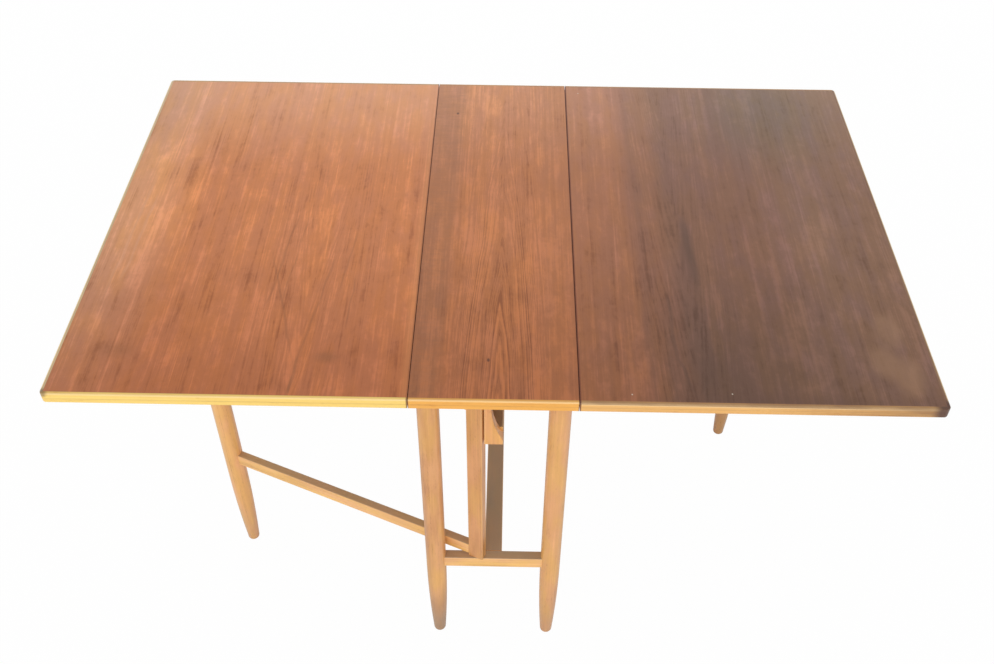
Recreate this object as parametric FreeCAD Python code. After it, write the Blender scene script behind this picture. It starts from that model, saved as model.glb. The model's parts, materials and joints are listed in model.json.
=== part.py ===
import FreeCAD, Part
import math
import os

# Butterfly folding table, open. Millimetres, +Z up, +X along the open table, +Y towards the back.
# The origin is on the floor under the middle of the top.
# The table is the same when it is turned half a turn about Z, so each back or right-hand piece
# is the front or left-hand one, turned.

# Table top
TABLE_LENGTH = 1284.0
TABLE_DEPTH = 824.0
TABLE_HEIGHT = 712.0
TOP_THICKNESS = 18.0
CENTRE_WIDTH = 243.0
SEAM_GAP = 1.0
VENEER_THICKNESS = 0.8
LIPPING_WIDTH = 5.0
CORNER_RADIUS = 7.0
TOP_ARRIS = 2.0
BOTTOM_ARRIS = 1.5

# Turned legs: radius at heights above the floor
LEG_RADIUS = 17.2
LEG_TAPER_HEIGHT = 207.0
LEG_FOOT_RADIUS = 10.5
LEG_FOOT_ROUNDING = 6.0
LEG_TOP_ARRIS = 1.0

# End frames: two legs, a lower and an upper cross rail
FRAME_INSET = 65.0
LEG_SPREAD = 200.0
CROSS_RAIL_THICKNESS = 17.6
CROSS_RAIL_HEIGHT = 25.0
LOWER_RAIL_BOTTOM = 215.5
RAIL_ARRIS = 2.0
CROSS_TENON_LENGTH = 12.0
CROSS_TENON_THICKNESS = 9.0
TENON_SHOULDER = 5.0

# Rails that run from front to back
LOWER_LONG_RAIL_WIDTH = 30.0
UPPER_LONG_RAIL_WIDTH = 28.0
LOWER_LONG_RAIL_HEIGHT = 25.0
UPPER_LONG_RAIL_HEIGHT = 21.0
UPPER_LONG_RAIL_BOTTOM = 551.0
LONG_TENON_LENGTH = 8.0
LONG_TENON_WIDTH = 12.0

# Hanger block under each upper cross rail
HANGER_NECK_EDGE = -4.2
HANGER_SCOOP_RADIUS = 164.0
HANGER_SCOOP_HEIGHT = 635.5
HANGER_ARRIS = 1.0
HANGER_TENON_WIDTH = 5.0
HANGER_TENON_LENGTH = 8.0

# Swinging gates
GATE_PIVOT_X = -27.8
GATE_OPEN_ANGLE = 23.2
GATE_REACH = 501.2
GATE_TOP_GAP = 0.4
STILE_WIDTH = 26.4
STILE_THICKNESS = 15.2
STILE_ARRIS = 1.5
STILE_END_GAP = 0.4
STILE_TURN_CLEARANCE = 0.45
GATE_RAIL_HEIGHT = 25.0
GATE_RAIL_THICKNESS = 14.8
GATE_LOWER_RAIL_LIFT = 5.5
GATE_UPPER_RAIL_DROP = 48.5
GATE_TENON_LENGTH = 8.0
GATE_TENON_THICKNESS = 7.0
PIVOT_PIN_RADIUS = 4.0
PIVOT_PIN_IN_STILE = 28.0
PIVOT_PIN_IN_RAIL = 16.0
PIVOT_CLEARANCE = 0.08

# Leaf hinges, let in flush under the top
HINGE_END_INSET = 117.0
HINGE_LENGTH = 60.0
HINGE_FLAP_WIDTH = 28.0
HINGE_FLAP_THICKNESS = 1.5
HINGE_CORNER = 3.0
KNUCKLE_RADIUS = 3.0
KNUCKLE_CLEARANCE = 0.5
KNUCKLE_GAP = 0.3
MIDDLE_KNUCKLE_LENGTH = 22.0
HINGE_PIN_RADIUS = 1.25
HINGE_PIN_CLEARANCE = 0.05
FLAP_FIT = 0.1

# Screws
HINGE_SCREW_RADIUS = 1.7
HINGE_SCREW_LENGTH = 14.0
HINGE_SCREW_HEAD_RADIUS = 3.3
HINGE_SCREW_PITCH = 20.0
HINGE_SCREW_INSET = 15.0
HINGE_SCREW_STAGGER = 6.0
TOP_SCREW_RADIUS = 2.2
TOP_SCREW_HEAD_RADIUS = 4.4
TOP_SCREW_GRIP = 13.0
TOP_SCREW_SPACING = 120.0
SCREW_TIP_RATIO = 2.0
SCREW_POINT_RATIO = 0.2
SLOT_WIDTH_RATIO = 0.2
SLOT_DEPTH_RATIO = 0.4

# Allowances
NEAR = 0.01
ALONG_RATIO = 0.999

# Sizes that follow from the ones above
UNDERSIDE = TABLE_HEIGHT - TOP_THICKNESS
HALF_DEPTH = TABLE_DEPTH / 2
HALF_LENGTH = TABLE_LENGTH / 2
HALF_GAP = SEAM_GAP / 2
SEAM_X = -CENTRE_WIDTH / 2
FRONT_Y = FRAME_INSET - HALF_DEPTH
LEG_X = -LEG_SPREAD / 2
LOWER_RAIL_TOP = LOWER_RAIL_BOTTOM + CROSS_RAIL_HEIGHT
UPPER_RAIL_BOTTOM = UNDERSIDE - CROSS_RAIL_HEIGHT
INNER_Y = FRONT_Y + CROSS_RAIL_THICKNESS / 2
HALF_UPPER_RAIL = UPPER_LONG_RAIL_WIDTH / 2
STILE_BOTTOM = LOWER_RAIL_TOP + STILE_END_GAP
STILE_TOP = UPPER_RAIL_BOTTOM - STILE_END_GAP
STILE_CORNER_RADIUS = math.hypot(STILE_WIDTH, STILE_THICKNESS) / 2
HINGE_ROWS = (HINGE_END_INSET - HALF_DEPTH, 0.0, HALF_DEPTH - HINGE_END_INSET)
HINGE_PLACES = ("front", "middle", "back")
UP = FreeCAD.Vector(0, 0, 1)
ORIGIN = FreeCAD.Vector(0, 0, 0)


def vec(x, y, z):
    return FreeCAD.Vector(x, y, z)


def block(x0, x1, y0, y1, z0, z1):
    return Part.makeBox(x1 - x0, y1 - y0, z1 - z0, vec(x0, y0, z0))


def turned(shape):
    """The same piece on the other side of the table, half a turn about Z."""
    copy = shape.copy()
    copy.rotate(ORIGIN, UP, 180)
    return copy


def edges_along(shape, axis):
    """The straight edges of a box that run along one axis."""
    found = []
    for edge in shape.Edges:
        ends = [vertex.Point for vertex in edge.Vertexes]
        run = (ends[-1] - ends[0]).normalize()
        if abs(run.dot(axis)) > ALONG_RATIO:
            found.append(edge)
    return found


def rounded_bar(x0, x1, y0, y1, z0, z1, axis, radius):
    bar = block(x0, x1, y0, y1, z0, z1)
    return bar.makeFillet(radius, edges_along(bar, axis))


# Table top

def level_edges(shape, height):
    """The edges that lie at one height."""
    found = []
    for edge in shape.Edges:
        box = edge.BoundBox
        if abs(box.ZMin - height) < NEAR and abs(box.ZMax - height) < NEAR:
            found.append(edge)
    return found


def leaf_blank():
    """The left leaf's whole outline, with its rounded corners and arrises."""
    x_seam = SEAM_X - HALF_GAP
    blank = block(-HALF_LENGTH, x_seam, -HALF_DEPTH, HALF_DEPTH, UNDERSIDE, TABLE_HEIGHT)
    corners = []
    for edge in edges_along(blank, UP):
        if edge.BoundBox.XMax < x_seam - CORNER_RADIUS:
            corners.append(edge)
    blank = blank.makeFillet(CORNER_RADIUS, corners)
    for height, radius in ((TABLE_HEIGHT, TOP_ARRIS), (UNDERSIDE, BOTTOM_ARRIS)):
        rim = [edge for edge in level_edges(blank, height) if edge.BoundBox.XMin < x_seam - NEAR]
        blank = blank.makeFillet(radius, rim)
    return blank


def leaf_core_space(z0, z1):
    """The part of the left leaf inside its lipping."""
    x_outer = -HALF_LENGTH + LIPPING_WIDTH
    y_outer = HALF_DEPTH - LIPPING_WIDTH
    return block(x_outer, SEAM_X - HALF_GAP, -y_outer, y_outer, z0, z1)


def end_wedge():
    """Everything that the leaf's end lipping keeps, as far as its two mitres."""
    x_in = -HALF_LENGTH + LIPPING_WIDTH
    y_in = HALF_DEPTH - LIPPING_WIDTH
    far = LIPPING_WIDTH + CORNER_RADIUS
    z0 = UNDERSIDE - 1
    corners = [vec(x_in, -y_in, z0), vec(x_in - far, -y_in - far, z0),
               vec(x_in - far, y_in + far, z0), vec(x_in, y_in, z0), vec(x_in, -y_in, z0)]
    return Part.Face(Part.makePolygon(corners)).extrude(vec(0, 0, TOP_THICKNESS + 2))


def leaf_lippings():
    ring = leaf_blank().cut(leaf_core_space(UNDERSIDE - 1, TABLE_HEIGHT + 1))
    wedge = end_wedge()
    end = ring.common(wedge)
    sides = ring.cut(wedge)
    front_half = block(-HALF_LENGTH - 1, 0, -HALF_DEPTH - 1, 0, UNDERSIDE - 1, TABLE_HEIGHT + 1)
    return sides.common(front_half), sides.cut(front_half), end


def centre_lipping():
    """The front lipping of the centre board, a straight strip."""
    half = CENTRE_WIDTH / 2 - HALF_GAP
    y0 = -HALF_DEPTH
    strip = block(-half, half, y0, y0 + LIPPING_WIDTH, UNDERSIDE, TABLE_HEIGHT)
    for height, radius in ((TABLE_HEIGHT, TOP_ARRIS), (UNDERSIDE, BOTTOM_ARRIS)):
        rim = [edge for edge in level_edges(strip, height) if edge.BoundBox.YMax < y0 + NEAR]
        strip = strip.makeFillet(radius, rim)
    return strip


def centre_core_space(z0, z1):
    half = CENTRE_WIDTH / 2 - HALF_GAP
    y_outer = HALF_DEPTH - LIPPING_WIDTH
    return block(-half, half, -y_outer, y_outer, z0, z1)


# Screws

def screw(radius, head_radius, length):
    """A wood screw with its flat head, countersunk at 90 degrees, down at the origin, and its slot."""
    head_height = head_radius - radius
    tip = radius * SCREW_TIP_RATIO
    head = Part.makeCone(head_radius, radius, head_height)
    shank = Part.makeCylinder(radius, length - tip - head_height, vec(0, 0, head_height))
    point = Part.makeCone(radius, radius * SCREW_POINT_RATIO, tip, vec(0, 0, length - tip))
    half_slot = head_radius * SLOT_WIDTH_RATIO / 2
    slot_depth = head_height * SLOT_DEPTH_RATIO
    slot = block(-head_radius, head_radius, -half_slot, half_slot, 0, slot_depth)
    return head.fuse(shank).fuse(point).removeSplitter(), slot


def screws_at(places, radius, head_radius, length):
    """Solid screws and the same shapes without their slots, which cut the holes."""
    solids = []
    tools = []
    for place in places:
        whole, slot = screw(radius, head_radius, length)
        cut = whole.cut(slot)
        cut.translate(place)
        whole.translate(place)
        solids.append(cut)
        tools.append(whole)
    return Part.makeCompound(solids), tools


def cut_all(shape, tools):
    for tool in tools:
        shape = shape.cut(tool)
    return shape


# Leaf hinges

def flap_screw_places(side, y_mid):
    """Three screw places of one flap: the middle one stands a little nearer the knuckle."""
    places = []
    for step in (-1, 0, 1):
        inset = HINGE_SCREW_INSET
        if step != 0:
            inset = inset + HINGE_SCREW_STAGGER
        x = SEAM_X + side * inset
        places.append(vec(x, y_mid + step * HINGE_SCREW_PITCH, UNDERSIDE))
    return places


def flap_plate(side, y_mid, grow):
    x_far = SEAM_X + side * (HINGE_FLAP_WIDTH + grow)
    x0 = min(SEAM_X, x_far)
    x1 = max(SEAM_X, x_far)
    half = HINGE_LENGTH / 2 + grow
    plate = block(x0, x1, y_mid - half, y_mid + half, UNDERSIDE, UNDERSIDE + HINGE_FLAP_THICKNESS)
    corners = []
    for edge in edges_along(plate, UP):
        if abs(edge.BoundBox.XMin - x_far) < NEAR:
            corners.append(edge)
    return plate.makeFillet(HINGE_CORNER, corners)


def knuckle(y0, y1, radius):
    return Part.makeCylinder(radius, y1 - y0, vec(SEAM_X, y0, UNDERSIDE), vec(0, 1, 0))


def hinge_flap(side, y_mid, outer):
    """One flap. The fixed one carries the two outer knuckles, the leaf's carries the middle one."""
    half = HINGE_LENGTH / 2
    inner_half = MIDDLE_KNUCKLE_LENGTH / 2
    low = (y_mid - half, y_mid - inner_half)
    high = (y_mid + inner_half, y_mid + half)
    middle = (y_mid - inner_half + KNUCKLE_GAP, y_mid + inner_half - KNUCKLE_GAP)
    mine = (low, high) if outer else (middle,)
    others = (middle,) if outer else (low, high)
    flap = flap_plate(side, y_mid, 0)
    groove = KNUCKLE_RADIUS + KNUCKLE_CLEARANCE
    for y0, y1 in others:
        flap = flap.cut(knuckle(y0 - KNUCKLE_GAP, y1 + KNUCKLE_GAP, groove))
    for y0, y1 in mine:
        flap = flap.fuse(knuckle(y0, y1, KNUCKLE_RADIUS))
    bore = HINGE_PIN_RADIUS + HINGE_PIN_CLEARANCE
    flap = flap.cut(knuckle(y_mid - half - 1, y_mid + half + 1, bore)).removeSplitter()
    screws, tools = flap_screws(side, y_mid)
    return cut_all(flap, tools), screws, tools


def flap_screws(side, y_mid):
    places = flap_screw_places(side, y_mid)
    return screws_at(places, HINGE_SCREW_RADIUS, HINGE_SCREW_HEAD_RADIUS, HINGE_SCREW_LENGTH)


def hinge_recess(side, y_mid):
    """What the hinge takes out of a board: the flap's bed and the knuckle's groove."""
    bed = flap_plate(side, y_mid, FLAP_FIT)
    half = HINGE_LENGTH / 2 + KNUCKLE_CLEARANCE
    return [bed, knuckle(y_mid - half, y_mid + half, KNUCKLE_RADIUS + KNUCKLE_CLEARANCE)]


def hinge_pin(y_mid):
    half = HINGE_LENGTH / 2
    return knuckle(y_mid - half, y_mid + half, HINGE_PIN_RADIUS)


# Legs and frames

def leg(x, y, top):
    """A turned leg: straight above, drawn in below in one long curve to a rounded foot."""
    side = Part.BezierCurve()
    side.setPoles([vec(LEG_FOOT_RADIUS, 0, 0), vec(LEG_RADIUS, 0, LEG_TAPER_HEIGHT / 2),
                   vec(LEG_RADIUS, 0, LEG_TAPER_HEIGHT)])
    knee = vec(LEG_RADIUS, 0, LEG_TAPER_HEIGHT)
    corner = vec(LEG_RADIUS, 0, top - LEG_TOP_ARRIS)
    shoulder = vec(LEG_RADIUS - LEG_TOP_ARRIS, 0, top)
    lines = [side.toShape(), Part.makeLine(knee, corner), Part.makeLine(corner, shoulder),
             Part.makeLine(shoulder, vec(0, 0, top)), Part.makeLine(vec(0, 0, top), ORIGIN),
             Part.makeLine(ORIGIN, vec(LEG_FOOT_RADIUS, 0, 0))]
    profile = Part.Face(Part.Wire(lines))
    solid = profile.revolve(ORIGIN, UP, 360)
    sole = []
    for edge in solid.Edges:
        if edge.BoundBox.ZMax < NEAR and edge.BoundBox.XMax > LEG_FOOT_RADIUS - NEAR:
            if edge.BoundBox.XMin < NEAR - LEG_FOOT_RADIUS:
                sole.append(edge)
    solid = solid.makeFillet(LEG_FOOT_ROUNDING, sole)
    solid.translate(vec(x, y, 0))
    return solid


def cross_rail(z0):
    """A front cross rail, coped to its two legs, with a tenon in each."""
    half = CROSS_RAIL_THICKNESS / 2
    z1 = z0 + CROSS_RAIL_HEIGHT
    x_axis = vec(1, 0, 0)
    rail = rounded_bar(LEG_X, -LEG_X, FRONT_Y - half, FRONT_Y + half, z0, z1, x_axis, RAIL_ARRIS)
    for x in (LEG_X, -LEG_X):
        cope = Part.makeCylinder(LEG_RADIUS, CROSS_RAIL_HEIGHT + 2, vec(x, FRONT_Y, z0 - 1))
        rail = rail.cut(cope)
    return rail


def cross_tenons(z0):
    half = CROSS_TENON_THICKNESS / 2
    low = z0 + TENON_SHOULDER
    high = z0 + CROSS_RAIL_HEIGHT - TENON_SHOULDER
    reach = LEG_SPREAD / 2 - LEG_RADIUS
    y0 = FRONT_Y - half
    y1 = FRONT_Y + half
    left = block(-reach - CROSS_TENON_LENGTH, -reach + 1, y0, y1, low, high)
    right = block(reach - 1, reach + CROSS_TENON_LENGTH, y0, y1, low, high)
    return [left, right]


def long_tenon(z0, z1, width, y0):
    """The front tenon of a front-to-back rail."""
    return block(-width / 2, width / 2, y0 - LONG_TENON_LENGTH, y0 + 1, z0, z1)


def pivot_bore(z0, z1):
    radius = PIVOT_PIN_RADIUS + PIVOT_CLEARANCE
    return Part.makeCylinder(radius, z1 - z0, vec(GATE_PIVOT_X, FRONT_Y, z0))


def long_rail(z0, width, height):
    y_axis = vec(0, 1, 0)
    half = width / 2
    rail = rounded_bar(-half, half, INNER_Y, -INNER_Y, z0, z0 + height, y_axis, RAIL_ARRIS)
    tenon = long_tenon(z0 + TENON_SHOULDER, z0 + height - TENON_SHOULDER, LONG_TENON_WIDTH, INNER_Y)
    return rail.fuse(tenon).fuse(turned(tenon)), tenon


def hanger_block():
    """The front hanger: hollow on the left where the gate's stile turns, scooped on the right."""
    z0 = UPPER_LONG_RAIL_BOTTOM
    half = CROSS_RAIL_THICKNESS / 2
    y0 = FRONT_Y - half
    body = block(GATE_PIVOT_X, HALF_UPPER_RAIL, y0, FRONT_Y + half, z0, UPPER_RAIL_BOTTOM)
    centre = vec(HANGER_NECK_EDGE + HANGER_SCOOP_RADIUS, y0 - 1, HANGER_SCOOP_HEIGHT)
    scoop = Part.makeCylinder(HANGER_SCOOP_RADIUS, CROSS_RAIL_THICKNESS + 2, centre, vec(0, 1, 0))
    body = body.cut(scoop)
    scooped = []
    for edge in body.Edges:
        box = edge.BoundBox
        if box.YLength < NEAR and box.ZLength > 1 and box.XMin > GATE_PIVOT_X + NEAR:
            scooped.append(edge)
    body = body.makeFillet(HANGER_ARRIS, scooped)
    hollow = STILE_CORNER_RADIUS + STILE_TURN_CLEARANCE
    height = UPPER_RAIL_BOTTOM - z0 + 2
    return body.cut(Part.makeCylinder(hollow, height, vec(GATE_PIVOT_X, FRONT_Y, z0 - 1)))


def hanger_tenon():
    half = CROSS_TENON_THICKNESS / 2
    x1 = HANGER_NECK_EDGE - 1
    x0 = x1 - HANGER_TENON_WIDTH
    z0 = UPPER_RAIL_BOTTOM
    return block(x0, x1, FRONT_Y - half, FRONT_Y + half, z0 - 1, z0 + HANGER_TENON_LENGTH)


# Gates, built along +X from the pivot and then swung into place

def place_gate(shape):
    copy = shape.copy()
    copy.rotate(ORIGIN, UP, 180 - GATE_OPEN_ANGLE)
    copy.translate(vec(GATE_PIVOT_X, FRONT_Y, 0))
    return copy


def gate_rail(z0, gate_leg):
    """A gate rail between stile and leg, and the two tenons at its ends."""
    half = GATE_RAIL_THICKNESS / 2
    z1 = z0 + GATE_RAIL_HEIGHT
    x0 = STILE_WIDTH / 2
    bar = rounded_bar(x0, GATE_REACH, -half, half, z0, z1, vec(1, 0, 0), RAIL_ARRIS)
    bar = bar.cut(gate_leg)
    thin = GATE_TENON_THICKNESS / 2
    low = z0 + TENON_SHOULDER
    high = z1 - TENON_SHOULDER
    inner = block(x0 - GATE_TENON_LENGTH, x0 + 1, -thin, thin, low, high)
    x_leg = GATE_REACH - LEG_RADIUS
    outer = block(x_leg - 1, x_leg + GATE_TENON_LENGTH, -thin, thin, low, high)
    return bar.fuse(inner).fuse(outer).removeSplitter(), inner, outer


def gate_pins():
    """The bottom and the top pivot pin, each half in the stile and half in its cross rail."""
    bottom = LOWER_RAIL_TOP - PIVOT_PIN_IN_RAIL
    bottom_length = STILE_BOTTOM + PIVOT_PIN_IN_STILE - bottom
    top = STILE_TOP - PIVOT_PIN_IN_STILE
    top_length = UPPER_RAIL_BOTTOM + PIVOT_PIN_IN_RAIL - top
    return (Part.makeCylinder(PIVOT_PIN_RADIUS, bottom_length, vec(0, 0, bottom)),
            Part.makeCylinder(PIVOT_PIN_RADIUS, top_length, vec(0, 0, top)))


def gate_pieces():
    half_width = STILE_WIDTH / 2
    half_thick = STILE_THICKNESS / 2
    stile = rounded_bar(-half_width, half_width, -half_thick, half_thick,
                        STILE_BOTTOM, STILE_TOP, UP, STILE_ARRIS)
    gate_leg = leg(GATE_REACH, 0, UNDERSIDE - GATE_TOP_GAP)
    lower_z = LOWER_RAIL_TOP + GATE_LOWER_RAIL_LIFT
    upper_z = UNDERSIDE - GATE_UPPER_RAIL_DROP - GATE_RAIL_HEIGHT
    lower, lower_in, lower_out = gate_rail(lower_z, gate_leg)
    upper, upper_in, upper_out = gate_rail(upper_z, gate_leg)
    bottom_pin, top_pin = gate_pins()
    return {"gate_stile": cut_all(stile, [lower_in, upper_in, bottom_pin, top_pin]),
            "gate_leg": cut_all(gate_leg, [lower_out, upper_out]),
            "gate_lower_rail": lower,
            "gate_upper_rail": upper,
            "gate_bottom_pin": bottom_pin,
            "gate_top_pin": top_pin}


# The whole table

def hinges(parts):
    """All hinges and screws. Returns what they take out of the centre board and of the left leaf."""
    centre_cuts = []
    centre_screws = []
    leaf_cuts = []
    leaf_screws = []
    for place, opposite, y_mid in zip(HINGE_PLACES, reversed(HINGE_PLACES), HINGE_ROWS):
        fixed, screws, holes = hinge_flap(1, y_mid, True)
        centre_screws = centre_screws + screws.Solids + turned(screws).Solids
        cuts = hinge_recess(1, y_mid) + holes
        centre_cuts = centre_cuts + cuts + [turned(cut) for cut in cuts]
        moving, screws, holes = hinge_flap(-1, y_mid, False)
        leaf_screws = leaf_screws + screws.Solids
        leaf_cuts = leaf_cuts + hinge_recess(-1, y_mid) + holes
        hinge = {"fixed_flap": fixed, "leaf_flap": moving, "pin": hinge_pin(y_mid)}
        for name, shape in hinge.items():
            parts["left_" + place + "_hinge_" + name] = shape
            parts["right_" + opposite + "_hinge_" + name] = turned(shape)
    parts["centre_hinge_screws"] = Part.makeCompound(centre_screws)
    parts["left_leaf_hinge_screws"] = Part.makeCompound(leaf_screws)
    parts["right_leaf_hinge_screws"] = turned(parts["left_leaf_hinge_screws"])
    return centre_cuts, leaf_cuts


def leaves(parts, cuts):
    core_top = TABLE_HEIGHT - VENEER_THICKNESS
    front, back, end = leaf_lippings()
    leaf = {"leaf_board": cut_all(leaf_core_space(UNDERSIDE, core_top), cuts),
            "leaf_veneer": leaf_core_space(core_top, TABLE_HEIGHT),
            "leaf_end_lipping": end}
    for name, shape in leaf.items():
        parts["left_" + name] = shape
        parts["right_" + name] = turned(shape)
    parts["left_leaf_front_lipping"] = front
    parts["left_leaf_back_lipping"] = back
    parts["right_leaf_back_lipping"] = turned(front)
    parts["right_leaf_front_lipping"] = turned(back)


def top_fixing(parts):
    """The screws up through the upper cross rails. Returns the front rail's holes, then all holes."""
    places = []
    for side in (-1, 1):
        places.append(vec(side * TOP_SCREW_SPACING / 2, FRONT_Y, UPPER_RAIL_BOTTOM))
    length = CROSS_RAIL_HEIGHT + TOP_SCREW_GRIP
    screws, holes = screws_at(places, TOP_SCREW_RADIUS, TOP_SCREW_HEAD_RADIUS, length)
    parts["top_fixing_screws"] = Part.makeCompound(screws.Solids + turned(screws).Solids)
    return holes, holes + [turned(hole) for hole in holes]


def centre(parts, cuts):
    core_top = TABLE_HEIGHT - VENEER_THICKNESS
    parts["centre_board"] = cut_all(centre_core_space(UNDERSIDE, core_top), cuts)
    parts["centre_veneer"] = centre_core_space(core_top, TABLE_HEIGHT)
    parts["centre_front_lipping"] = centre_lipping()
    parts["centre_back_lipping"] = turned(centre_lipping())


def end_frames(parts, top_screw_holes):
    """Both end frames and the two long rails between them."""
    lower_tenons = cross_tenons(LOWER_RAIL_BOTTOM)
    upper_tenons = cross_tenons(UPPER_RAIL_BOTTOM)
    lower_long, lower_tenon = long_rail(LOWER_RAIL_BOTTOM, LOWER_LONG_RAIL_WIDTH,
                                        LOWER_LONG_RAIL_HEIGHT)
    upper_long, upper_tenon = long_rail(UPPER_LONG_RAIL_BOTTOM, UPPER_LONG_RAIL_WIDTH,
                                        UPPER_LONG_RAIL_HEIGHT)
    parts["lower_long_rail"] = lower_long
    parts["upper_long_rail"] = upper_long
    lower = cross_rail(LOWER_RAIL_BOTTOM).fuse(lower_tenons)
    upper = cross_rail(UPPER_RAIL_BOTTOM).fuse(upper_tenons)
    low_bore = pivot_bore(LOWER_RAIL_TOP - PIVOT_PIN_IN_RAIL - 1, LOWER_RAIL_TOP + 1)
    top_bore = pivot_bore(UPPER_RAIL_BOTTOM - 1, UPPER_RAIL_BOTTOM + PIVOT_PIN_IN_RAIL + 1)
    lower = cut_all(lower, [low_bore, lower_tenon]).removeSplitter()
    upper = cut_all(upper, [top_bore, hanger_tenon()] + top_screw_holes).removeSplitter()
    hanger = hanger_block().fuse(hanger_tenon()).cut(upper_tenon).removeSplitter()
    front = {"lower_cross_rail": lower, "upper_cross_rail": upper, "hanger_block": hanger}
    for name, shape in front.items():
        parts["front_" + name] = shape
        parts["back_" + name] = turned(shape)
    left = cut_all(leg(LEG_X, FRONT_Y, UNDERSIDE), lower_tenons + upper_tenons)
    right = cut_all(leg(-LEG_X, FRONT_Y, UNDERSIDE), lower_tenons + upper_tenons)
    parts["front_left_leg"] = left
    parts["front_right_leg"] = right
    parts["back_right_leg"] = turned(left)
    parts["back_left_leg"] = turned(right)


def gates(parts):
    for name, shape in gate_pieces().items():
        left = place_gate(shape)
        parts["left_" + name] = left
        parts["right_" + name] = turned(left)


def build():
    parts = {}
    centre_cuts, leaf_cuts = hinges(parts)
    rail_holes, all_holes = top_fixing(parts)
    leaves(parts, leaf_cuts)
    centre(parts, centre_cuts + all_holes)
    end_frames(parts, rail_holes)
    gates(parts)
    return parts


os.makedirs("parts", exist_ok=True)
for node, shape in sorted(build().items()):
    shape.exportStep("parts/" + node + ".step")
    print(node, len(shape.Solids), round(shape.Volume), shape.isValid())
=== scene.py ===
import json
import math

import bpy
from bpy.props import FloatProperty, FloatVectorProperty, PointerProperty
from mathutils import Matrix, Vector


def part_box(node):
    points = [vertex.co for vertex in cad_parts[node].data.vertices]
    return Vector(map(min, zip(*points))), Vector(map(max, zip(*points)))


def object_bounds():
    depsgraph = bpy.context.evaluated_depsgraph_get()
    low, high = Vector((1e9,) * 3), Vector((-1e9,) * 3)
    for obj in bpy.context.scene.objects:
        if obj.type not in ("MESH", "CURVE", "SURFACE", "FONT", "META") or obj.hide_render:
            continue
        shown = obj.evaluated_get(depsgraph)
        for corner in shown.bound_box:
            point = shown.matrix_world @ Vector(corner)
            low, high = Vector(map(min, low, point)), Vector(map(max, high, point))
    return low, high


bl_info = {
    "name": "Butterfly folding table",
    "version": (1, 0, 0),
    "blender": (4, 5, 0),
    "location": "3D View > Sidebar > Table",
    "description": "Finishes a gate-leg table in teak veneer and beech, and sets it in a studio",
    "category": "Object",
}

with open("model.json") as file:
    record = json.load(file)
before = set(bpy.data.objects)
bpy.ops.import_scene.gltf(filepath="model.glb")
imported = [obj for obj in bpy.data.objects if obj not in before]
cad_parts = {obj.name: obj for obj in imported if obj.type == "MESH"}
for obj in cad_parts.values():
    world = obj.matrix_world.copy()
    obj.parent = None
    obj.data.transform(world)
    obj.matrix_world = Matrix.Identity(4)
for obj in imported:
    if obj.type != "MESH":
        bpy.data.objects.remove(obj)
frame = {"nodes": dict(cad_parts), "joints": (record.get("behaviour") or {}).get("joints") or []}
CAD_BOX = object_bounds()

# Materials measure their patterns in millimetres, the model is in metres.
MM = 0.001
TOP = CAD_BOX[1][2]
# How far the middle of each seam lies from the middle of the top, in millimetres.
SEAM_AT = 122.0
# A grain offset this far apart gives each piece a pattern of its own.
SEED_STEP = 310.0

FRAME_ALONG_X = ("front_lower_cross_rail", "back_lower_cross_rail",
                 "front_upper_cross_rail", "back_upper_cross_rail")
FRAME_ALONG_Y = ("lower_long_rail", "upper_long_rail")
FRAME_ALONG_Z = ("front_hanger_block", "back_hanger_block")
TURNED_LEGS = ("front_left_leg", "front_right_leg", "back_left_leg", "back_right_leg",
               "left_gate_leg", "right_gate_leg")

# How brown the flat top of each lipping has gone, from 0 to 1. On the right leaf this brown is
# partly painted shade, as less light falls on the right.
LIPPING_SOIL_AND_SHADE = {"left_leaf": {"front": 0.04, "back": 0.55, "end": 0.38},
                "centre": {"front": 0.16, "back": 0.6},
                "right_leaf": {"front": 0.62, "back": 0.7, "end": 0.75}}
# The top's front corners gone brown: where, how far each way in millimetres, and how much. Hands
# have browned the left one; the right one is painted shade, as less light falls on the right.
BROWN_CORNERS = (((640.0, -410.0, 704.0), (26.0, 20.0, 40.0), 0.92),
                 ((-640.0, -410.0, 711.0), (12.0, 12.0, 9.0), 0.6))
# Lippings that the sun has paled or use has greyed: towards which tone, and how far. The grey of
# the right leaf's end is partly painted shade, as less light falls on the right.
WORN_AND_SHADED_LIPPING = {"left_leaf_end_lipping": ("#F4DFC0", 0.6),
                "left_leaf_back_lipping": ("#E0A868", 0.6),
                "right_leaf_end_lipping": ("#A48B72", 0.7)}

# How much dust and painted shade lie on the upper faces, and how grey a foot has gone, from 0 to
# 1. The grey-brown on the rails' upper faces is partly dust and partly painted shade from the top
# above them.
DUST_AND_SHADE = {"left_gate_lower_rail": 0.6, "right_gate_lower_rail": 0.42,
        "front_lower_cross_rail": 0.75, "back_lower_cross_rail": 0.75,
        "lower_long_rail": 0.85, "upper_long_rail": 0.85}
FOOT_GREY = {"front_left_leg": 0.75}
USUAL_FOOT_GREY = 0.3
# How brown handling has made each beech piece in patches.
HANDLED = {"front_left_leg": 0.42, "left_gate_stile": 0.32, "left_gate_leg": 0.06,
           "front_right_leg": 0.06}
USUAL_HANDLED = 0.2
# A factor that leaves a tone as it is.
UNCHANGED = (1.0, 1.0, 1.0)
# The gates' legs take a lighter and a darker copy of the legs' tone: painted light on the left
# gate's leg, painted shade on the right gate's leg.
GATE_LEG_LIGHT_AND_SHADE = {"left_gate_leg": (1.12, 1.16, 1.2), "right_gate_leg": (0.7, 0.66, 0.56)}

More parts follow.
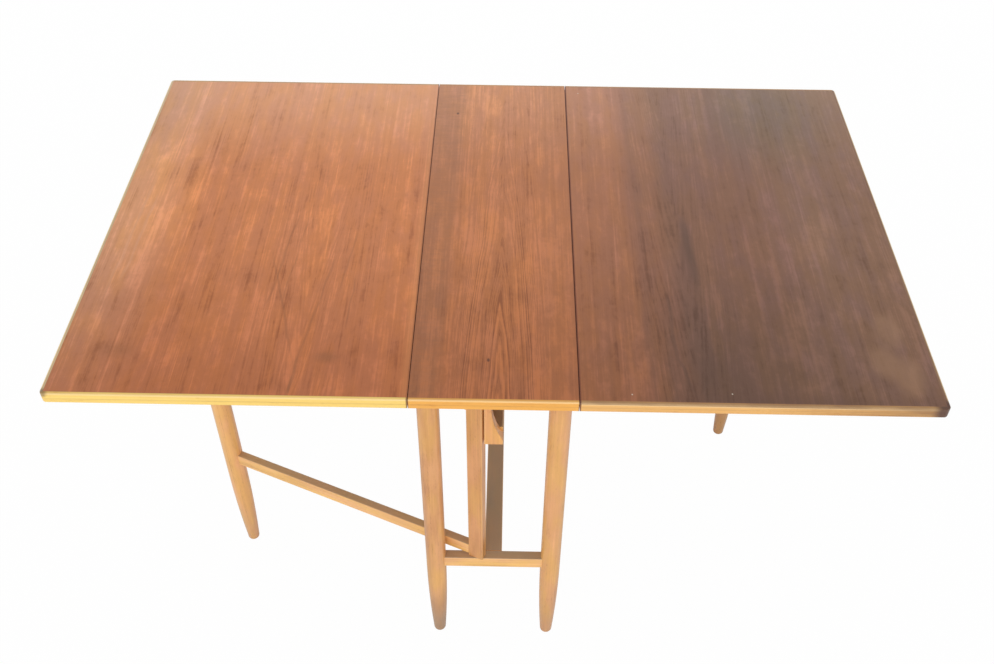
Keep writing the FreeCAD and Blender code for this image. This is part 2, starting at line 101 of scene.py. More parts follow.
# Marks in the veneer, in millimetres from the middle of the top: towards the back, towards the
# right, and down into the board. First the middle of each mark, then its half size each way,
# and for some how strong it is.
LEFT_BLOTCHES = (((-330.0, -246.0, 0.0), (18.0, 26.0, 50.0), 0.5),
                 ((-322.0, -555.0, 0.0), (22.0, 40.0, 50.0), 0.3),
                 ((-385.0, -291.0, 0.0), (32.0, 3.0, 50.0), 0.45))
LEFT_GOLDEN_PATCH = ((45.0, -600.0, 0.0), (270.0, 130.0, 90.0))
CENTRE_KNOTS = (((-331.0, -9.0, 0.0), (5.0, 2.8, 50.0)),
                ((310.0, -81.0, 0.0), (4.5, 3.0, 50.0)))
RIGHT_GREY_PATCH = ((330.0, 480.0, 0.0), (240.0, 170.0, 90.0))
RIGHT_DARK_STREAKS = (((-75.0, 308.0, 0.0), (120.0, 20.0, 50.0), 0.5),
                      ((-350.0, 318.0, 0.0), (80.0, 46.0, 50.0), 0.5),
                      ((-404.0, 430.0, 0.0), (22.0, 260.0, 50.0), 0.35))
RIGHT_RUBBED_PATCHES = (((-256.0, 588.0, 0.0), (54.0, 30.0, 90.0)),
                        ((-322.0, 568.0, 0.0), (48.0, 30.0, 90.0)),
                        ((-350.0, 598.0, 0.0), (54.0, 32.0, 90.0)))
RIGHT_FLECKS = ((-390.0, 338.0, 0.0), (-394.0, 196.0, 0.0), (385.0, 146.0, 0.0))
FLECK_REACH = (1.8, 1.5, 50.0)
# Single lines of the grain: the two ends, towards the back and the right, then the width on
# each side of the line, and how strong it is.
LEFT_DARK_LINES = (((-408.0, -291.0), (-326.0, -288.0), 3.4, 0.45),
                   ((-346.0, -292.0), (-92.0, -364.0), 3.0, 0.3),
                   ((-340.0, -288.0), (-96.0, -257.0), 3.0, 0.3),
                   ((-234.0, -353.0), (6.0, -332.0), 2.6, 0.3),
                   ((-234.0, -331.0), (6.0, -313.0), 2.6, 0.25),
                   ((-270.0, -225.0), (-150.0, -222.0), 2.4, 0.3),
                   ((-194.0, -246.0), (-34.0, -228.0), 2.4, 0.25))
LEFT_BRIGHT_LINES = (((-214.0, -604.0), (106.0, -596.0), 4.0, 0.4),
                     ((-180.0, -588.0), (60.0, -581.0), 4.0, 0.4))
RIGHT_DARK_LINES = (((-190.0, 316.0), (10.0, 304.0), 8.0, 0.45),
                    ((-332.0, 268.0), (-176.0, 264.0), 5.0, 0.4),
                    ((-398.0, 286.0), (-318.0, 268.0), 4.0, 0.4),
                    ((-398.0, 292.0), (-336.0, 320.0), 4.0, 0.35))
# How far a line of the grain sways aside, in millimetres from one extreme to the other.
LINE_SWAY = 10.0
# Where a veneer's tone is quite the front's, and where it is quite the back's. The back's tone is
# lighter and paler: painted reflection of bright light at the back. The front's is darker.
FRONT_TONE_AT = -400.0
BACK_TONE_AT = 420.0

# Tones of single marks and of worn places, some of which are painted shade and painted highlights
SEAM_DIRT = "#6B2C12"
CORNER_BROWN = "#502C1D"
PALED_TEAK = "#CDA07E"
SEAM_STRIP = "#D28A50"
BRIGHT_LINE = "#E0A27E"
DULL_STRIP = "#8A5F45"
SOFT_STRIP = "#935F41"
KNOT = "#46220F"
RUBBED_TEAK = "#9C7456"
FLECK = "#D8CBB8"
EDGE_WEAR_AND_HIGHLIGHT = "#F2C384"
ARRIS_WEAR_AND_HIGHLIGHT = "#FFDFA6"
HANDLED_BEECH = "#AC6A2C"
BOARD_EDGE = "#A05A32"
PIN_STAIN = "#6E665C"
SCREW_STAIN = "#5E5348"

# How a piece's grain lies: the turn that takes X along the grain and Y across it.
ALONG_X = (0.0, 0.0, 0.0)
ALONG_Y = (math.pi, 0.0, math.pi / 2)
ALONG_Z = (0.0, -math.pi / 2, 0.0)
# Where the tree's pith lay beside each kind of piece, in millimetres across and through it.
LEG_PITH = (26.0, 30.0)
RAIL_PITH = (8.0, -34.0)
GATE_RAIL_PITH = (9.0, -30.0)
STILE_PITH = (14.0, 38.0)
LIPPING_PITH = (18.0, -24.0)
# Half the sides of what stands askew, in millimetres, since its box doesn't give them.
GATE_RAIL_HALF = 7.4
STILE_HALF = (7.6, 13.2)
# The lipping whose brown band goes over its arris: how far down its face, in millimetres, and
# between which places along it the rest of its face goes brown as well, towards the right end.
# That brown is painted shade, as less light falls on the right.
BANDED_LIPPING = "right_leaf_front_lipping"
BAND_DEPTH = 2.6
BAND_FADING = (30.0, -300.0)
# The first multiple of the grain offset for each kind of piece.
FIRST_SEED = {"legs": 1, "boards": 4, "lippings": 8, "rails": 10, "left": 20, "right": 24}


# Colours and nodes

def linear(hex_colour):
    """An sRGB hex colour as the linear red, green and blue that Blender's sockets take."""
    shares = [int(hex_colour[start:start + 2], 16) / 255 for start in (1, 3, 5)]
    return tuple(share / 12.92 if share <= 0.04045 else ((share + 0.055) / 1.055) ** 2.4
                 for share in shares)


def scaled(colour, factor):
    """Three numbers times three numbers."""
    return tuple(channel * share for channel, share in zip(colour, factor))


def opaque(colour):
    """The four numbers that a colour socket takes. A pattern stays as it is."""
    if isinstance(colour, bpy.types.NodeSocket):
        return colour
    return (colour[0], colour[1], colour[2], 1.0)


def add(tree, kind, inputs=None, **settings):
    """Adds a node, makes its settings, and sets or links its inputs."""
    node = tree.nodes.new(kind)
    for name, value in settings.items():
        setattr(node, name, value)
    for name, value in (inputs or {}).items():
        if isinstance(value, bpy.types.NodeSocket):
            tree.links.new(value, node.inputs[name])
        else:
            node.inputs[name].default_value = value
    return node


def new_material(name):
    """An empty node material and its tree."""
    material = bpy.data.materials.new(name)
    material.use_nodes = True
    material.node_tree.nodes.clear()
    return material, material.node_tree


def give(node_name, material):
    """Puts a material on a CAD node, in each slot that the node has."""
    piece = frame["nodes"][node_name]
    if not piece.material_slots:
        piece.data.materials.append(material)
    for slot in piece.material_slots:
        slot.material = material


# Patterns. Each takes a place in millimetres, X along the grain, and gives a number.

def timber(tree, origin, turn, seed=0.0):
    """A place in a piece's own timber, in millimetres from its origin, X along the grain."""
    place = add(tree, "ShaderNodeTexCoord")
    at = add(tree, "ShaderNodeMapping",
             {"Vector": place.outputs["Object"], "Location": origin, "Rotation": turn,
              "Scale": (MM, MM, MM)}, vector_type="TEXTURE").outputs[0]
    shifted = add(tree, "ShaderNodeVectorMath",
                  {0: at, 1: (seed, seed * 0.7, seed * 0.4)}, operation="ADD").outputs[0]
    return at, shifted


def calculate(tree, operation, *values):
    """One step of arithmetic on numbers and patterns."""
    return add(tree, "ShaderNodeMath", dict(enumerate(values)), operation=operation).outputs[0]


def coordinates(tree, at):
    """A place's three distances: along the grain, across it, and through."""
    return add(tree, "ShaderNodeSeparateXYZ", {0: at}).outputs


def streaks(tree, at, length, width, detail=2.0, roughness=0.5, distortion=0.0):
    """Noise drawn out along the grain, with marks of about this length and width.

    It gives a number and three more numbers of their own.
    """
    drawn = add(tree, "ShaderNodeVectorMath",
                {0: at, 1: (1 / length, 1 / width, 1 / width)}, operation="MULTIPLY").outputs[0]
    return add(tree, "ShaderNodeTexNoise",
               {"Vector": drawn, "Scale": 1.0, "Detail": detail, "Roughness": roughness,
                "Distortion": distortion}).outputs


def step(tree, value, low, high):
    """0 up to low, 1 from high on, and smooth between them. low may be the larger of the two."""
    return add(tree, "ShaderNodeMapRange",
               {"Value": value, "From Min": low, "From Max": high, "To Min": 0.0, "To Max": 1.0},
               interpolation_type="SMOOTHSTEP").outputs[0]


def together(tree, start, layers):
    """start, plus each layer's swing about its middle of 0.5 times its strength."""
    whole = start - 0.5 * sum(strength for _, strength in layers)
    for layer, strength in layers:
        whole = calculate(tree, "MULTIPLY_ADD", layer, strength, whole)
    return whole


def between(tree, share, first, second):
    """One number passing into another as the share goes from 0 to 1."""
    return calculate(tree, "MULTIPLY_ADD", share, second - first, first)


def both(tree, first, second):
    """The product of two shares, which is near 1 only where both are."""
    return calculate(tree, "MULTIPLY", first, second)


def apart(tree, first, second):
    """How far two numbers lie apart."""
    return calculate(tree, "ABSOLUTE", calculate(tree, "SUBTRACT", first, second))


def spot(tree, at, where, reach, soft=0.6):
    """1 inside an oval round a place, and 0 outside it. reach is its half size each way."""
    away = add(tree, "ShaderNodeVectorMath", {0: at, 1: where}, operation="SUBTRACT").outputs[0]
    share = add(tree, "ShaderNodeVectorMath",
                {0: away, 1: tuple(1 / size for size in reach)}, operation="MULTIPLY").outputs[0]
    far = add(tree, "ShaderNodeVectorMath", {0: share}, operation="LENGTH").outputs["Value"]
    return step(tree, far, 1.0, 1.0 - soft)


def vein(tree, at, own, start, end, width, share):
    """A single line of the grain between two places, given along and across, thinning out."""
    along, across = coordinates(tree, at)[:2]
    lean = (end[1] - start[1]) / (end[0] - start[0])
    sway = streaks(tree, own, 70.0, 40.0, 1.0)[0]
    line = calculate(tree, "MULTIPLY_ADD", along, -lean, across)
    line = calculate(tree, "MULTIPLY_ADD", sway, LINE_SWAY, line)
    off = apart(tree, line, start[1] - lean * start[0] + LINE_SWAY / 2)
    length = abs(end[0] - start[0])
    gone = apart(tree, along, (start[0] + end[0]) / 2)
    within = both(tree, step(tree, gone, 0.56 * length, 0.3 * length), share)
    return both(tree, step(tree, off, width, 0.2 * width), within)


def growth_rings(tree, at, own, seed, pith, slope, spacing, wander, power=2.0):
    """The rings round a pith line beside the timber. Where it slants, they end in arches.

    A power under 2 gives pointed arches, as sliced veneer has them.
    """
    sway = streaks(tree, own, 210.0, 60.0, 2.0)[1]
    shift = add(tree, "ShaderNodeVectorMath",
                {0: sway, 1: (0.0, wander, wander), 2: (0.0, -wander / 2, -wander / 2)},
                operation="MULTIPLY_ADD").outputs[0]
    bent = add(tree, "ShaderNodeVectorMath", {0: at, 1: shift}, operation="ADD").outputs[0]
    along, across, through = coordinates(tree, bent)
    across = calculate(tree, "SUBTRACT", across, pith[0])
    below = calculate(tree, "SUBTRACT", through, pith[1])
    below = calculate(tree, "MULTIPLY_ADD", along, slope, below)
    powers = [calculate(tree, "POWER", calculate(tree, "ABSOLUTE", side), power)
              for side in (across, below)]
    radius = calculate(tree, "POWER", calculate(tree, "ADD", *powers), 1 / power)
    count = calculate(tree, "MULTIPLY_ADD", radius, 1 / spacing, seed)
    return add(tree, "ShaderNodeTexNoise",
               {"W": count, "Scale": 1.0, "Detail": 2.5, "Roughness": 0.6},
               noise_dimensions="1D").outputs[0]


def shade(tree, body, value, deep, pale):
    """A tone made darker where the value nears 0 and lighter where it nears 1.

    deep and pale are what the tone is multiplied by at the two ends.
    """
    lower = blended(tree, step(tree, value, 0.05, 0.5), deep, UNCHANGED)
    return toned(tree, body, blended(tree, step(tree, value, 0.5, 0.95), lower, pale))


def toned(tree, colour, factor):
    """The colour times a factor, which may be three numbers or a pattern of them."""
    return add(tree, "ShaderNodeMix", {0: 1.0, 6: opaque(colour), 7: opaque(factor)},
               data_type="RGBA", blend_type="MULTIPLY").outputs[2]


def blended(tree, share, first, second):
    """One tone passing into another as the share goes from 0 to 1."""
    return add(tree, "ShaderNodeMix", {0: share, 6: opaque(first), 7: opaque(second)},
               data_type="RGBA").outputs[2]


def tinted(tree, colour, tone, share):
    """The colour with a tone mixed in by a share, which may be a number or a pattern."""
    return blended(tree, share, colour, tone)


def at_the_seams(tree, colour, left_share, right_share):
    """The colour with the brown line that dirt has left along the two seams of the top."""
    place = add(tree, "ShaderNodeTexCoord")
    aside = calculate(tree, "DIVIDE", coordinates(tree, place.outputs["Object"])[0], MM)
    near = step(tree, apart(tree, calculate(tree, "ABSOLUTE", aside), SEAM_AT), 2.6, 0.8)
    share = add(tree, "ShaderNodeMix", {0: calculate(tree, "GREATER_THAN", aside, 0.0),
                                        2: left_share, 3: right_share}).outputs[0]
    return tinted(tree, colour, linear(SEAM_DIRT), both(tree, near, share))


def at_the_corners(tree, colour, tone):
    """The colour with the top's two front corners gone brown: the left from handling, the right as
    painted shade.
    """
    place = add(tree, "ShaderNodeTexCoord")
    at = add(tree, "ShaderNodeVectorMath", {0: place.outputs["Object"], "Scale": 1 / MM},
             operation="SCALE").outputs[0]
    for where, reach, share in BROWN_CORNERS:
        colour = tinted(tree, colour, tone, both(tree, spot(tree, at, where, reach), share))
    return colour


def surface(tree, colour, roughness, relief, depth, **constant):
    """The shader and its relief. The constants go straight on the shader's own sockets."""
    bump = add(tree, "ShaderNodeBump", {"Height": relief, "Strength": 1.0, "Distance": depth * MM})
    inputs = {"Base Color": colour, "Roughness": roughness, "Normal": bump.outputs[0]}
    inputs.update({name.replace("_", " "): value for name, value in constant.items()})
    shader = add(tree, "ShaderNodeBsdfPrincipled", inputs)
    add(tree, "ShaderNodeOutputMaterial", {"Surface": shader.outputs[0]})


# What a user would change

class TeakTones(bpy.types.PropertyGroup):
    left: FloatVectorProperty(
        name="Left leaf", description="Veneer of the left leaf, half way back",
        subtype="COLOR", min=0, max=1, default=linear("#D0804A"))
    centre: FloatVectorProperty(
        name="Centre", description="Veneer of the centre board, half way back",
        subtype="COLOR", min=0, max=1, default=linear("#BE7542"))
    right_seam: FloatVectorProperty(
        name="Right leaf, seam", description="Veneer of the right leaf beside the centre board",
        subtype="COLOR", min=0, max=1, default=linear("#AD6D44"))
    # The right leaf's dull, dark and grey tones are partly the teak's own and partly painted
    # shade, as less light falls on the right.
    right_dark_shaded: FloatVectorProperty(
        name="Right leaf, dark", description="The dull brown band in the middle of the right leaf",
        subtype="COLOR", min=0, max=1, default=linear("#865B45"))
    right_end_shaded: FloatVectorProperty(
        name="Right leaf, end", description="The greyer veneer towards the right leaf's end",
        subtype="COLOR", min=0, max=1, default=linear("#8A6550"))
    backing: FloatVectorProperty(
        name="Underside", description="Backing veneer under the boards",
        subtype="COLOR", min=0, max=1, default=linear("#A9805C"))


class BeechTones(bpy.types.PropertyGroup):
    legs: FloatVectorProperty(
        name="Legs", description="The six turned legs",
        subtype="COLOR", min=0, max=1, default=linear("#E3A765"))
    rails: FloatVectorProperty(
        name="Rails", description="The rails",
        subtype="COLOR", min=0, max=1, default=linear("#F7BF74"))
    blocks: FloatVectorProperty(
        name="Hanger blocks", description="The scooped blocks under the centre board",
        subtype="COLOR", min=0, max=1, default=linear("#E9A862"))
    stiles: FloatVectorProperty(
        name="Stiles", description="The stiles that the gates turn on",
        subtype="COLOR", min=0, max=1, default=linear("#DB9D5C"))
    feet: FloatVectorProperty(
        name="Feet", description="The grey that the feet have taken on",
        subtype="COLOR", min=0, max=1, default=linear("#9C7F66"))
    # This tone is partly dust and partly painted shade that the top casts on the rails' upper
    # faces.
    dust_and_shade: FloatVectorProperty(
        name="Dust", description="What has settled on the tops of the rails",
        subtype="COLOR", min=0, max=1, default=linear("#9E907E"))
    left_lipping: FloatVectorProperty(
        name="Left lipping", description="Lipping of the left leaf",
        subtype="COLOR", min=0, max=1, default=linear("#F8D16E"))
    centre_lipping: FloatVectorProperty(
        name="Centre lipping", description="Lipping of the centre board",
        subtype="COLOR", min=0, max=1, default=linear("#F1AD49"))
    right_lipping: FloatVectorProperty(
        name="Right lipping", description="Lipping of the right leaf",
        subtype="COLOR", min=0, max=1, default=linear("#EAB163"))
    # This tone is grime, and on the right leaf's lippings also painted shade, darkest towards the
    # right end.
    grime_and_shade: FloatVectorProperty(
        name="Grime", description="What handling has left along the edges",
        subtype="COLOR", min=0, max=1, default=linear("#6F442C"))


class MetalTones(bpy.types.PropertyGroup):
    brass: FloatVectorProperty(
        name="Brass", description="Hinge flaps",
        subtype="COLOR", min=0, max=1, default=linear("#C9A25C"))
    tarnish: FloatVectorProperty(
        name="Tarnish", description="The brown that brass takes on",
        subtype="COLOR", min=0, max=1, default=linear("#8A6B3E"))
    steel: FloatVectorProperty(
        name="Steel", description="Screws and pins",
        subtype="COLOR", min=0, max=1, default=linear("#B8B6B1"))


class StudioLight(bpy.types.PropertyGroup):
    sky: FloatProperty(
        name="Room light", description="Even light from all round",
        min=0, max=2, default=0.74)
    window: FloatProperty(
        name="Window light", description="Power of the large light low down behind the table",
        subtype="POWER", min=0, default=20.0)
    fill: FloatProperty(
        name="Fill light", description="Power of the large light in front",
        subtype="POWER", min=0, default=30.0)
    panels: FloatProperty(
        name="Side light", description="Power of each of the two low lights beside the table",
        subtype="POWER", min=0, default=6.0)
    floor_white: FloatProperty(
        name="Floor white", description="How far the floor is lifted to white for the camera",
        subtype="FACTOR", min=0, max=1, default=0.98)


# Finishes

def teak_grain(tree, at, own, seed, crown, slope, figure, left_behind=1.0, fine=1.0):
    """Lightness and relief of crown-cut teak: soft bands, fine streaks, and arches round one line.

    crown is where that line lies across the grain, and how deep its rings run there. figure is
    how strong the arches are in front, left_behind the share of that at the back, and fine how
    strong the finest streaks are.
    """
    bands = streaks(tree, own, 1500.0, 30.0, 3.0)[0]
    ribbons = streaks(tree, own, 300.0, 8.5, 2.0, 0.5, 0.3)[0]
    fibres = streaks(tree, own, 180.0, 2.8, 2.0, 0.5, 0.2)[0]
    lustre = streaks(tree, own, 58.0, 30.0, 3.0, 0.6, 0.5)[0]
    mottle = streaks(tree, own, 18.0, 9.0, 2.0, 0.5, 0.8)[0]
    along, across = coordinates(tree, at)[:2]
    rings = growth_rings(tree, at, own, seed, crown, slope, 3.2, 10.0, 1.25)
    lines = step(tree, rings, 0.34, 0.62)
    aside = apart(tree, across, crown[0])
    fading = between(tree, step(tree, along, -260.0, 300.0), 1.0, left_behind)
    near = both(tree, step(tree, aside, 84.0, 40.0), fading)
    lines = add(tree, "ShaderNodeMix", {0: near, 2: 0.6, 3: lines}).outputs[0]
    clouds = streaks(tree, own, 170.0, 80.0, 2.0, 0.5, 0.4)[0]
    # Streaks gather in some places and are hardly there in others.
    busy = step(tree, streaks(tree, own, 330.0, 44.0, 1.0)[0], 0.38, 0.62)
    busy = between(tree, busy, 0.4 * fine, 1.15 * fine)
    gathered = calculate(tree, "MULTIPLY", calculate(tree, "SUBTRACT", fibres, 0.5), busy)
    # A few streaks catch the light, and faint ripples lie across the grain.
    bright = step(tree, streaks(tree, own, 120.0, 3.0, 1.0)[1], 0.54, 0.74)
    ripple = streaks(tree, own, 6.0, 24.0, 1.0, 0.5, 0.8)[0]
    # Pores are 0.3 mm wide and are drawn at 1.2 mm, so that they show.
    dashes = streaks(tree, own, 20.0, 1.2, 1.0)[0]
    pores = step(tree, dashes, 0.3, 0.48)
    value = together(tree, 0.5, [(bands, 0.7), (ribbons, 0.74), (lustre, 0.8), (mottle, 0.36),
                                 (clouds, 0.5), (ripple, 0.12), (lines, figure),
                                 (pores, 0.1 * fine)])
    value = calculate(tree, "MULTIPLY_ADD", bright, 0.17, value)
    value = calculate(tree, "ADD", value, gathered)
    relief = together(tree, 0.5, [(fibres, 0.5), (pores, 0.6)])
    return value, relief, lustre


def veneer_start(name, seed, crown, slope, figure, left_behind, fine):
    """A veneer's material, its places and its grain: what all three boards have in common."""
    material, tree = new_material(name)
    at, own = timber(tree, (0.0, 0.0, TOP), ALONG_Y, seed)
    value, relief, lustre = teak_grain(tree, at, own, seed, crown, slope, figure, left_behind,
                                       fine)
    return material, tree, at, own, value, relief, lustre


def veneer_colour(tree, own, body, value, depth):
    """Teak's tone, golden in some patches and pinkish in others, with its grain laid over it."""
    patch = together(tree, 0.5, [(streaks(tree, own, 300.0, 36.0, 2.0)[0], 1.0),
                                 (streaks(tree, own, 60.0, 24.0, 2.0)[0], 0.9)])
    cast = blended(tree, step(tree, patch, 0.28, 0.72), (1.04, 1.0, 0.86), (0.99, 0.97, 1.05))
    spread = calculate(tree, "MULTIPLY_ADD", calculate(tree, "SUBTRACT", value, 0.5), depth, 0.5)
    return shade(tree, toned(tree, body, cast), spread, (0.67, 0.58, 0.44), (1.33, 1.35, 1.5))


def from_front_to_back(tree, along, tone, front, back):
    """A tone that is itself half way back, and is multiplied by front and back at the two ends.
    The back's factor paints a pale reflected sheen.
    """
    nearer = blended(tree, step(tree, along, 0.0, FRONT_TONE_AT), UNCHANGED, front)
    farther = blended(tree, step(tree, along, 90.0, BACK_TONE_AT), UNCHANGED, back)
    return toned(tree, toned(tree, tone, nearer), farther)


def with_lines(tree, colour, at, own, lines, tone):
    """The colour with single lines of the grain drawn in one tone."""
    for start, end, width, share in lines:
        colour = tinted(tree, colour, tone, vein(tree, at, own, start, end, width, share))
    return colour


def finish_veneer(tree, colour, value, relief, lustre):
    """Oiled and rubbed: duller in the open grain, smoother where it has been wiped most."""
    colour = at_the_seams(tree, colour, 0.4, 0.75)
    roughness = together(tree, 0.43, [(value, -0.14), (lustre, 0.12)])
    surface(tree, colour, roughness, relief, 0.06, IOR=1.46)


def left_veneer(tones):
    """Crown-cut teak, sliced, laid and oiled: warm orange, with a painted silky sheen towards the
    back.
    """
    material, tree, at, own, value, relief, lustre = veneer_start(
        "teak_veneer_left", SEED_STEP, (-288.0, 30.0), 0.085, 0.2, 0.3, 0.75)
    along, across = coordinates(tree, at)[:2]
    body = from_front_to_back(tree, along, tones.left, (0.8, 0.74, 0.7), (1.22, 1.6, 2.35))
    # The last hand's breadth by the end has paled, least in front.
    paled = both(tree, step(tree, across, -480.0, -640.0), step(tree, along, -620.0, -20.0))
    body = tinted(tree, body, linear(PALED_TEAK), both(tree, paled, 0.5))
    golden = spot(tree, at, *LEFT_GOLDEN_PATCH, 0.8)
    body = toned(tree, body, blended(tree, golden, UNCHANGED, (1.2, 1.22, 1.1)))
    # Towards the back the figure's contrast is lowered, as the painted sheen there would veil it,
    # and it is patchier than in the other two boards.
    calm = between(tree, step(tree, along, 60.0, 330.0), 0.95, 0.65)
    patchy = streaks(tree, own, 120.0, 64.0, 3.0, 0.5, 0.6)[0]
    value = calculate(tree, "MULTIPLY_ADD", calculate(tree, "SUBTRACT", patchy, 0.5), 0.5, value)
    colour = veneer_colour(tree, own, body, value, calm)
    # The strip along the seam has stayed lighter, and the front is browner in soft clouds.
    strip = both(tree, step(tree, across, -138.0, -126.0), 0.35)
    colour = tinted(tree, colour, linear(SEAM_STRIP), strip)
    cloud = streaks(tree, own, 160.0, 70.0, 2.0)[0]
    low = calculate(tree, "MULTIPLY_ADD", cloud, 320.0, along)
    browner = blended(tree, step(tree, low, -40.0, -230.0), UNCHANGED, (0.95, 0.93, 0.94))
    colour = toned(tree, colour, browner)
    dark = tuple(channel * 0.42 for channel in tones.left)
    for where, reach, share in LEFT_BLOTCHES:
        blotch = spot(tree, at, where, reach, 0.9)
        colour = tinted(tree, colour, dark, both(tree, blotch, share))
    colour = with_lines(tree, colour, at, own, LEFT_DARK_LINES, dark)
    colour = with_lines(tree, colour, at, own, LEFT_BRIGHT_LINES, linear(BRIGHT_LINE))
    finish_veneer(tree, colour, value, relief, lustre)
    return material


def centre_veneer(tones):
    """Crown-cut teak with its pointed arches down the middle, between two plainer strips."""
    material, tree, at, own, value, relief, lustre = veneer_start(
        "teak_veneer_centre", SEED_STEP * 2, (6.0, 35.0), -0.073, 0.5, 0.3, 0.75)
    along, across = coordinates(tree, at)[:2]
    body = from_front_to_back(tree, along, tones.centre, (0.77, 0.71, 0.66), (1.22, 1.46, 2.0))
    # The figure's contrast is lower towards the back, as the painted sheen there would veil it.
    bold = between(tree, step(tree, along, 150.0, -330.0), 0.85, 1.25)
    colour = veneer_colour(tree, own, body, value, bold)
    # The strip beside the left seam was cut from duller wood, with faint marks across it, and
    # the one beside the right seam from slightly duller wood.
    slanted = calculate(tree, "MULTIPLY_ADD", along, -0.02, across)
    ray = streaks(tree, own, 5.0, 26.0, 1.0)[0]
    dull = both(tree, step(tree, slanted, -60.0, -84.0), together(tree, 0.3, [(ray, 0.3)]))
    colour = tinted(tree, colour, linear(DULL_STRIP), dull)
    soft = both(tree, step(tree, across, 60.0, 84.0), 0.2)
    colour = tinted(tree, colour, linear(SOFT_STRIP), soft)
    for where, reach in CENTRE_KNOTS:
        knot = spot(tree, at, where, reach)
        colour = tinted(tree, colour, linear(KNOT), both(tree, knot, 0.75))
    finish_veneer(tree, colour, value, relief, lustre)
    return material


def right_veneer(tones):
    """Teak that is dull and greyish brown away from the seam, partly its own tone and partly
    painted shade, as less light falls on the right, and is worn at one corner.
    """
    material, tree, at, own, value, relief, lustre = veneer_start(
        "teak_veneer_right", SEED_STEP * 3, (292.0, 46.0), 0.07, 0.18, 0.8, 0.4)
    along, across = coordinates(tree, at)[:2]
    # The orange tone beside the seam goes over into the duller one in soft streaks. That duller
    # tone is partly painted shade.
    cloud = streaks(tree, own, 600.0, 46.0, 3.0)[0]
    drifting = calculate(tree, "MULTIPLY_ADD", cloud, 150.0, across)
    seam = from_front_to_back(tree, along, tones.right_seam, (0.74, 0.7, 0.66), (1.26, 1.5, 2.0))
    band = from_front_to_back(tree, along, tones.right_dark_shaded,
                              (0.62, 0.65, 0.62), (1.19, 1.33, 1.4))
    end = from_front_to_back(tree, along, tones.right_end_shaded, (0.8, 0.77, 0.74), (1.2, 1.35, 1.5))
    body = blended(tree, step(tree, drifting, 215.0, 395.0), seam, band)
    body = blended(tree, step(tree, drifting, 440.0, 660.0), body, end)
    greyer = spot(tree, at, *RIGHT_GREY_PATCH, 0.9)
    body = toned(tree, body, blended(tree, greyer, UNCHANGED, (0.76, 0.86, 0.85)))
    # The figure's contrast is lower towards the back, as the painted sheen there would veil it.
    bold = between(tree, step(tree, along, 150.0, -330.0), 0.8, 1.2)
    colour = veneer_colour(tree, own, body, value, bold)
    dark = tuple(channel * 0.5 for channel in tones.right_dark_shaded)
    for where, reach, share in RIGHT_DARK_STREAKS:
        streak = spot(tree, at, where, reach, 0.95)
        colour = tinted(tree, colour, dark, both(tree, streak, both(tree, lustre, share * 2)))
    colour = with_lines(tree, colour, at, own, RIGHT_DARK_LINES, dark)
    # Three patches near the front corner are rubbed back to a lighter brown.
    for where, reach in RIGHT_RUBBED_PATCHES:
        rubbed = spot(tree, at, where, reach, 0.7)
        rubbed = both(tree, rubbed, together(tree, 0.6, [(lustre, 0.8)]))
        colour = tinted(tree, colour, linear(RUBBED_TEAK), rubbed)
    for where in RIGHT_FLECKS:
        fleck = spot(tree, at, where, FLECK_REACH)
        colour = tinted(tree, colour, linear(FLECK), both(tree, fleck, 0.8))
    finish_veneer(tree, colour, value, relief, lustre)
    return material


def beech_grain(tree, at, own, seed, pith, slope):
    """Lightness and relief of beech: soft rings, long ribbons and its short brown ray flecks."""
    rings = growth_rings(tree, at, own, seed, pith, slope, 2.6, 5.0)
    ribbons = streaks(tree, own, 260.0, 5.0, 2.0)[0]
    patches = streaks(tree, own, 70.0, 26.0, 2.0)[0]
    # Ray flecks are 0.3 mm by 2 mm and are drawn at 0.9 mm by 8 mm, so that they show.
    flecks = step(tree, streaks(tree, own, 8.0, 0.9, 0.0)[0], 0.3, 0.42)
    value = together(tree, 0.5, [(rings, 0.5), (ribbons, 0.8), (patches, 0.7), (flecks, 0.12)])
    relief = together(tree, 0.5, [(rings, 0.3), (flecks, 0.5)])
    return value, relief, patches


def near_edges(tree, at, half_across, half_through):
    """1 on the four long edges of a squared piece that is this large about its middle."""
    inset = []
    for place, half in zip(coordinates(tree, at)[1:], (half_across, half_through)):
        inset.append(calculate(tree, "SUBTRACT", half, calculate(tree, "ABSOLUTE", place)))
    return step(tree, calculate(tree, "MAXIMUM", *inset), 2.6, 0.8)


